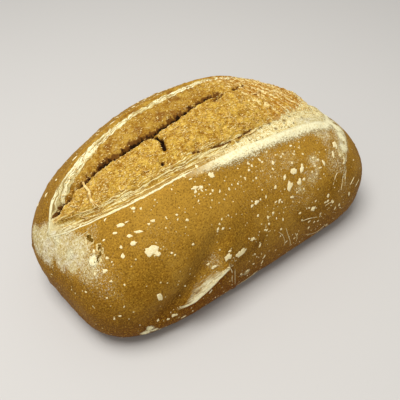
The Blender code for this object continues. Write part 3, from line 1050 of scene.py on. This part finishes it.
def linear(colour):
    """The linear values of a colour that is given as screen values."""
    return tuple(((c / 255 + 0.055) / 1.055) ** 2.4 if c > 10 else c / 255 / 12.92 for c in colour)


class Look:
    """A procedural material while its nodes are being joined up. Colours are given as 0 to 255."""

    def __init__(self, name):
        self.material = bpy.data.materials.new(name)
        self.material.use_nodes = True
        self.tree = self.material.node_tree
        self.shader = self.tree.nodes["Principled BSDF"]
        self.place = self.node("TexCoord").outputs["Object"]

    def node(self, kind, inputs=None, **settings):
        made = self.tree.nodes.new("ShaderNode" + kind)
        for name, value in settings.items():
            setattr(made, name, value)
        for name, value in (inputs or {}).items():
            self.feed(made.inputs[name], value)
        return made

    def feed(self, socket, value):
        if isinstance(value, bpy.types.NodeSocket):
            self.tree.links.new(value, socket)
        else:
            socket.default_value = value

    def mask(self, name):
        return self.node("Attribute", attribute_name=name).outputs["Fac"]

    def noise(self, size, detail=2.0, roughness=0.5, place=None):
        inputs = {"Vector": place or self.place, "Scale": 1.0 / size}
        inputs.update({"Detail": detail, "Roughness": roughness})
        return self.node("TexNoise", inputs).outputs["Fac"]

    def cells(self, size):
        return self.node("TexVoronoi", {"Vector": self.place, "Scale": 1.0 / size}, feature="F1")

    def span(self, value, low, high, start=0.0, end=1.0):
        """Goes smoothly from start to end while the value goes from low to high."""
        inputs = {"Value": value, "From Min": low, "From Max": high, "To Min": start, "To Max": end}
        return self.node("MapRange", inputs, interpolation_type="SMOOTHSTEP").outputs[0]

    def math(self, operation, first, *others):
        """Applies the operation to all the values in turn."""
        for other in others:
            first = self.node("Math", {0: first, 1: other}, operation=operation).outputs[0]
        return first

    def times(self, *values):
        return self.math("MULTIPLY", *values)

    def plus(self, *values):
        return self.math("ADD", *values)

    def minus(self, *values):
        return self.math("SUBTRACT", *values)

    def most(self, *values):
        return self.math("MAXIMUM", *values)

    def away(self, value, middle):
        return self.math("ABSOLUTE", self.minus(value, middle), 0.0)

    def swing(self, value, reach):
        """Turns noise around one half into noise around zero with the given reach."""
        return self.times(self.minus(value, 0.5), reach)

    def mix(self, share, first, second):
        colours = [c if isinstance(c, bpy.types.NodeSocket) else (*linear(c), 1.0) for c in (first, second)]
        inputs = {0: share, 6: colours[0], 7: colours[1]}
        return self.node("Mix", inputs, data_type="RGBA").outputs[2]

    def blend(self, value, low, high, first, second):
        """Goes from the first colour to the second while the value goes from low to high."""
        return self.mix(self.span(value, low, high), first, second)

    def layer(self, colour, value, low, high, strength, tone):
        """Lays a tone over the colour, up to the strength, while the value goes from low to high."""
        return self.mix(self.span(value, low, high, 0.0, strength), colour, tone)

    def finish(self, colour, roughness, height, depth, specular):
        self.feed(self.shader.inputs["Base Color"], colour)
        self.feed(self.shader.inputs["Roughness"], roughness)
        self.shader.inputs["Specular IOR Level"].default_value = specular
        bumps = self.node("Bump", {"Height": height, "Distance": depth, "Strength": 1.0})
        self.feed(self.shader.inputs["Normal"], bumps.outputs[0])
        return self.material


def streak_lines(look, width, length):
    """Fine lines that run beside the opening's edges. Width and length are in millimetres."""
    x = look.node("SeparateXYZ", {0: look.place}).outputs[0]
    across = look.plus(look.mask("beside"), look.swing(look.noise(0.0080, 3.0, 0.55), 3.0))
    lines = look.node("CombineXYZ", {0: across, 1: look.times(x, MM * width / length)}).outputs[0]
    return look.noise(width, 2.0, 0.6, lines)


def dusting(look, strength):
    """Fine grains, which close up as the dust gets denser."""
    needed = look.minus(0.74, look.times(strength, 0.50))
    return look.span(look.minus(look.noise(0.0009, 4.0, 0.78), needed), -0.06, 0.12)


def opening_flour(look, lumps):
    """Flour beside the opening's front side: a fine line, which widens into a band that fades downwards."""
    share, filling = look.mask("share"), look.mask("filling")
    ragged = look.swing(lumps, 1.3)
    below = dusting(look, look.span(look.plus(share, ragged), 2.15, -0.10))
    crest = look.span(look.plus(share, look.times(ragged, 0.10)), -0.05, 0.02)
    off_line = look.plus(look.mask("line"), look.swing(look.noise(0.0045, 3.0, 0.6), 1.6))
    line = look.span(look.plus(look.away(off_line, 0.0), look.times(filling, 2.0)), 0.80, 0.35)
    return look.times(look.most(look.times(below, crest, filling), line), look.mask("along"))


def porous_rim(look, colour):
    """The pale porous strip between the band of flour and the torn crumb, over the given colour."""
    lobes = look.swing(look.noise(0.0046, 5.0, 0.72), 9.0)
    inside = look.span(look.plus(look.mask("rim"), lobes), -0.4, 0.5)
    above = look.span(look.mask("share"), 0.10, -0.02)
    cover = look.times(inside, above, look.mask("porous"), look.mask("along"))
    grain = look.noise(0.0010, 4.0, 0.78)
    tone = look.blend(look.noise(0.0030, 4.0, 0.7), 0.40, 0.60, (216, 184, 104), (244, 228, 164))
    tone = look.layer(tone, grain, 0.48, 0.36, 0.9, (164, 124, 50))
    tone = look.layer(tone, grain, 0.50, 0.60, 1.0, (255, 250, 206))
    torn = look.swing(look.noise(0.0012, 3.0, 0.7), 0.5)
    pores = look.span(look.plus(look.cells(0.0040).outputs["Distance"], torn), 0.36, 0.22)
    pores = look.times(pores, look.span(look.noise(0.0060), 0.50, 0.56))
    tone = look.mix(look.times(pores, 0.8), tone, (126, 90, 34))
    return look.mix(cover, colour, tone), look.times(look.minus(grain, pores), cover)


def stretched_skin(look, colour, base_strength):
    """Thin pale lines beside the opening, and the pale ridge behind it, over the given colour."""
    fine = streak_lines(look, 0.62, 13.0)
    striped = look.plus(fine, look.swing(streak_lines(look, 2.4, 30.0), 0.7))
    filling = look.mask("filling")
    inner = look.times(look.mask("line"), look.minus(1.0, filling))
    inner = look.span(look.plus(inner, look.times(look.mask("front"), filling)), -0.4, 0.2)
    streak = look.times(look.mask("streak"), inner)
    dull = look.blend(fine, 0.40, 0.60, (142, 104, 42), (192, 158, 84))
    colour = look.mix(look.times(streak, base_strength), colour, dull)
    needed = look.minus(0.69, look.times(streak, 0.17))
    pale = look.span(look.minus(striped, needed), -0.01, 0.06)
    broken = look.span(look.noise(0.0013, 3.0, 0.7), 0.34, 0.50, 0.25, 1.0)
    pale = look.times(pale, broken, look.span(streak, 0.02, 0.15))
    colour = look.mix(pale, colour, (246, 232, 170))
    rib = look.blend(fine, 0.40, 0.52, (158, 130, 74), (216, 200, 138))
    rib = look.layer(rib, striped, 0.48, 0.56, 1.0, (252, 243, 196))
    ridge = look.span(look.plus(look.mask("ridge"), look.swing(fine, 1.0)), 0.38, 0.58)
    return look.mix(ridge, colour, rib), look.times(striped, look.most(streak, ridge))


def fold_looks(look):
    """The pinched fold: flour on its lip, crisp below and fading upwards, and painted shade on the skin under
    it.
    """
    near, share = look.mask("fold"), look.mask("lip_share")
    above = look.plus(look.mask("lip"), look.swing(look.noise(0.009), 1.6))
    streaks = look.node("CombineXYZ", {0: look.times(share, 6.0), 1: look.times(above, 0.9)}).outputs[0]
    middle = look.span(look.away(share, 0.55), 0.52, 0.05)
    fade = look.span(look.math("DIVIDE", above, look.plus(2.4, look.times(middle, 9.0))), 1.0, 0.0)
    needed = look.minus(0.86, look.times(fade, 0.48))
    smear = look.span(look.minus(look.noise(1.0, 5.0, 0.7, streaks), needed), -0.26, 0.16)
    smear = look.most(look.times(smear, 0.85), look.span(look.away(above, 0.6), 1.3, 0.6))
    # Painted shade on the skin tucked in under the lip.
    under = look.times(look.span(above, 0.1, -0.4), look.span(above, -16.0, -7.0, 0.3, 1.0))
    return look.times(smear, look.span(above, -0.5, 0.0), near), look.times(under, near, 0.75)


def chipped(look, colour):
    """Small ragged pits with pale broken rims, over the given colour."""
    share = look.plus(look.mask("chip"), look.swing(look.noise(0.0016, 4.0, 0.7), 2.4))
    rim = look.span(look.away(share, 1.30), 0.50, 0.15)
    broken = look.span(look.noise(0.0021), 0.46, 0.56, 0.1)
    colour = look.mix(look.times(rim, broken, 0.85), colour, (236, 218, 156))
    pit = look.blend(look.noise(0.0008), 0.4, 0.6, (86, 62, 10), (132, 98, 30))
    return look.layer(colour, share, 1.05, 0.85, 1.0, pit)


def browning_light_and_shade(look, grain, lip_tuck_shade):
    """Colour of the crust: mottled browning, with painted light near its top and painted shade low down and
    under the fold.
    """
    height = look.mask("height")
    brown = look.blend(look.noise(0.034, 3.0, 0.55), 0.38, 0.62, (132, 92, 20), (166, 124, 44))
    brown = look.layer(brown, look.noise(0.007, 4.0, 0.6), 0.36, 0.66, 0.70, (150, 104, 24))
    # Painted light: paler towards the top.
    brown = look.layer(brown, height, 0.50, 0.86, 0.60, (180, 136, 50))
    # Painted shade: darker low down.
    brown = look.layer(brown, height, 0.52, 0.03, 0.82, (98, 46, 0))
    # Painted shade in the fold's hollow and behind the near corner's flake, and darker skin behind the
    # opening.
    brown = look.mix(look.mask("dark"), brown, (84, 42, 2))
    # Painted shade on the skin tucked in under the fold's lip.
    brown = look.mix(lip_tuck_shade, brown, (124, 58, 0))
    brown = look.layer(brown, grain, 0.50, 0.66, 0.70, (206, 158, 52))
    return look.layer(brown, grain, 0.48, 0.34, 0.75, (80, 46, 0))


def small_dots(look):
    """Pale dots on the crust, one in each of a few chosen cells."""
    cells = look.cells(0.0034)
    chosen = look.span(look.node("SeparateColor", {0: cells.outputs["Color"]}).outputs[0], 0.80, 0.84)
    return look.times(look.span(cells.outputs["Distance"], 0.22, 0.12), chosen)


def dusted(look, colour):
    """Loose powder over the given colour, and where it lies."""
    dust = dusting(look, look.mask("dust"))
    powder = look.blend(look.noise(0.010, 4.0, 0.7), 0.44, 0.76, (222, 206, 148), (226, 220, 196))
    coarse = look.noise(0.0014, 4.0, 0.75)
    powder = look.layer(powder, coarse, 0.49, 0.36, 0.9, (158, 132, 76))
    powder = look.layer(powder, coarse, 0.52, 0.62, 0.9, (250, 244, 214))
    thin = look.span(look.noise(0.0040, 4.0, 0.75), 0.30, 0.66, 0.55, 0.95)
    return look.mix(look.times(dust, thin), colour, powder), dust


def crust_material():
    look = Look("crust")
    grain, lumps = look.noise(0.0010, 4.0, 0.75), look.noise(0.0026, 5.0, 0.75)
    smear, lip_tuck_shade = fold_looks(look)
    brown, ribs = stretched_skin(look, browning_light_and_shade(look, grain, lip_tuck_shade), 0.8)
    brown, porous = porous_rim(look, brown)
    dots = small_dots(look)
    brown, dust = dusted(look, look.mix(look.times(dots, 0.85), brown, (240, 220, 160)))
    patches = look.mask("flour")
    cover = look.span(look.plus(patches, look.swing(lumps, 1.2)), 0.42, 0.78)
    flour = look.most(cover, opening_flour(look, lumps), look.times(dusting(look, patches), 0.9), smear)
    shade = look.blend(look.noise(0.0016, 4.0, 0.7), 0.30, 0.58, (226, 210, 154), (252, 244, 200))
    colour = chipped(look, look.mix(flour, brown, shade))
    relief = look.plus(look.times(grain, 0.45), look.times(flour, 0.5), look.times(dots, 0.3))
    relief = look.plus(relief, look.times(ribs, 0.9), porous)
    rough = look.span(look.most(flour, dust), 0.0, 1.0, 0.60, 0.92)
    return look.finish(colour, rough, relief, 0.0005, 0.05)


def torn_gold(look, grain):
    """Colours of the torn crumb: mottled gold, painted light and shade on crags, painted shade on the flap,
    pale strands towards the far end.
    """
    gold = look.blend(look.noise(0.0075, 4.0, 0.65), 0.36, 0.64, (166, 118, 26), (208, 168, 66))
    gold = look.layer(gold, grain, 0.48, 0.34, 0.85, (122, 76, 16))
    gold = look.layer(gold, grain, 0.52, 0.63, 0.75, (240, 206, 112))
    # Painted highlights and shade: lighter and darker blotches of crag size stand in for light and shade on
    # the crags.
    crags = look.noise(0.0036, 4.0, 0.7)
    gold = look.layer(gold, crags, 0.49, 0.34, 0.75, (140, 90, 14))
    gold = look.layer(gold, crags, 0.53, 0.66, 0.70, (236, 200, 96))
    flap, crest = look.mask("flap"), look.mask("strand")
    # Painted shade on the flap's inner slope, deepened in patches.
    gold = look.mix(look.times(flap, 0.40), gold, (138, 92, 24))
    gold = look.mix(look.times(look.mask("flap_shade_patches"), flap, 0.6), gold, (120, 70, 22))
    gold = look.layer(gold, look.minus(look.mask("far"), crest), 0.30, 0.85, 0.6, (164, 102, 22))
    broken = look.times(look.span(grain, 0.34, 0.56), look.span(look.noise(0.0042, 3.0, 0.6), 0.42, 0.56))
    return look.layer(gold, look.times(crest, broken), 0.10, 0.42, 1.0, (250, 228, 160))


def crumb_material():
    look = Look("crumb")
    grain, lumps = look.noise(0.0013, 4.0, 0.78), look.noise(0.0026, 5.0, 0.75)
    gold, ribs = stretched_skin(look, torn_gold(look, grain), 0.30)
    gold = look.mix(look.times(dusting(look, look.mask("dust")), 0.8), gold, (232, 214, 156))
    cover = look.span(look.plus(look.mask("flour"), look.swing(lumps, 1.4)), 0.42, 0.72)
    flour = look.most(cover, opening_flour(look, lumps))
    gold = look.mix(flour, gold, look.blend(grain, 0.38, 0.58, (196, 170, 104), (250, 238, 190)))
    gold, porous = porous_rim(look, gold)
    # Painted shade in the crevice, cross tear and cracks: brown, with a near-black core.
    depth = look.plus(look.mask("depth"), look.swing(grain, -0.5))
    core = look.plus(depth, look.swing(look.noise(0.0036, 3.0, 0.7), 1.1))
    colour = look.layer(gold, depth, 0.16, 0.44, 1.0, (112, 72, 24))
    colour = look.layer(colour, core, 0.54, 0.86, 1.0, (38, 20, 5))
    relief = look.plus(look.times(grain, 0.7), look.times(look.noise(0.0006, 2.0, 0.6), 0.3))
    relief = look.plus(relief, look.times(ribs, 0.5), porous)
    return look.finish(colour, 0.85, relief, 0.0008, 0.08)


def flake_material(name, dark, light):
    look = Look(name)
    colour = look.blend(look.noise(0.0022, 2.0, 0.6), 0.35, 0.65, dark, light)
    return look.finish(colour, 0.85, look.noise(0.0006), 0.0001, 0.15)


def flour_material():
    look = Look("flour")
    lumps = look.noise(0.0012, 4.0, 0.7)
    colour = look.blend(lumps, 0.3, 0.7, (230, 208, 146), (255, 244, 200))
    return look.finish(colour, 0.9, lumps, 0.0002, 0.1)


def plain_material(name, colour, roughness):
    material = bpy.data.materials.new(name)
    material.use_nodes = True
    shader = material.node_tree.nodes["Principled BSDF"]
    shader.inputs["Base Color"].default_value = (*colour, 1.0)
    shader.inputs["Roughness"].default_value = roughness
    return material


# Camera, floor and light


def camera_axes():
    """The camera's right, up and forward directions."""
    level, turn = CAMERA_ELEVATION, CAMERA_AZIMUTH
    forward = Vector((math.sin(turn) * math.cos(level), math.cos(turn) * math.cos(level), -math.sin(level)))
    flat_right = Vector((math.cos(turn), -math.sin(turn), 0.0))
    flat_up = flat_right.cross(forward)
    right = math.cos(CAMERA_ROLL) * flat_right + math.sin(CAMERA_ROLL) * flat_up
    up = math.cos(CAMERA_ROLL) * flat_up - math.sin(CAMERA_ROLL) * flat_right
    return right, up, forward


def camera_place():
    aim = Vector(CAMERA_AIM) - Vector((*MIDDLE, 0.0))
    return aim - camera_axes()[2] * CAMERA_DISTANCE


def make_camera():
    right, up, forward = camera_axes()
    data = bpy.data.cameras.new("photo_camera")
    data.sensor_width = SENSOR_MM
    data.lens = FOCAL_PIXELS * SENSOR_MM / PHOTO_SIZE
    data.clip_start = 0.01
    camera = bpy.data.objects.new("photo_camera", data)
    bpy.context.scene.collection.objects.link(camera)
    turned = Matrix((right, up, -forward)).transposed().to_4x4()
    camera.matrix_world = Matrix.Translation(camera_place()) @ turned
    bpy.context.scene.camera = camera


def make_floor():
    bpy.ops.mesh.primitive_plane_add(size=40.0)
    floor = bpy.context.active_object
    floor.name = "floor"
    floor.data.materials.append(plain_material("pale_floor", (0.61, 0.59, 0.56), 0.9))


def area_light(name, place, size, watts, aim=(0.0, 0.0, 0.04)):
    data = bpy.data.lights.new(name, "AREA")
    data.shape = "DISK"
    data.size = size
    data.energy = watts
    light = bpy.data.objects.new(name, data)
    light.location = place
    light.rotation_euler = (Vector(aim) - Vector(place)).to_track_quat("-Z", "Y").to_euler()
    bpy.context.scene.collection.objects.link(light)


def make_light():
    world = bpy.data.worlds.new("studio")
    world.use_nodes = True
    background = world.node_tree.nodes["Background"]
    background.inputs["Color"].default_value = (1.0, 0.99, 0.97, 1.0)
    background.inputs["Strength"].default_value = 0.44
    bpy.context.scene.world = world
    bpy.context.scene.view_settings.view_transform = "Standard"
    area_light("key", (-0.22, 0.02, 1.05), 0.6, 10.0)


make_camera()
make_floor()
make_light()
crust, crust_tree = make_crust()
crumb = make_crumb()
flakes = make_flakes(crumb)
strands = make_strands(crumb)
spots = make_flour_spots(crust_tree, crust)
crust.data.materials.append(crust_material())
crumb.data.materials.append(crumb_material())
flakes.data.materials.append(flake_material("crumb_flakes", (206, 154, 58), (255, 232, 160)))
strands.data.materials.append(flake_material("dough_strands", (206, 164, 88), (246, 222, 156)))
spots.data.materials.append(flour_material())
finishes = {crust: "crust", crumb: "crumb", flakes: "crumb", strands: "crumb", spots: "flour"}
for piece, finish in finishes.items():
    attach(piece, "root")
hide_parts("loaf")
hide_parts("loaf")
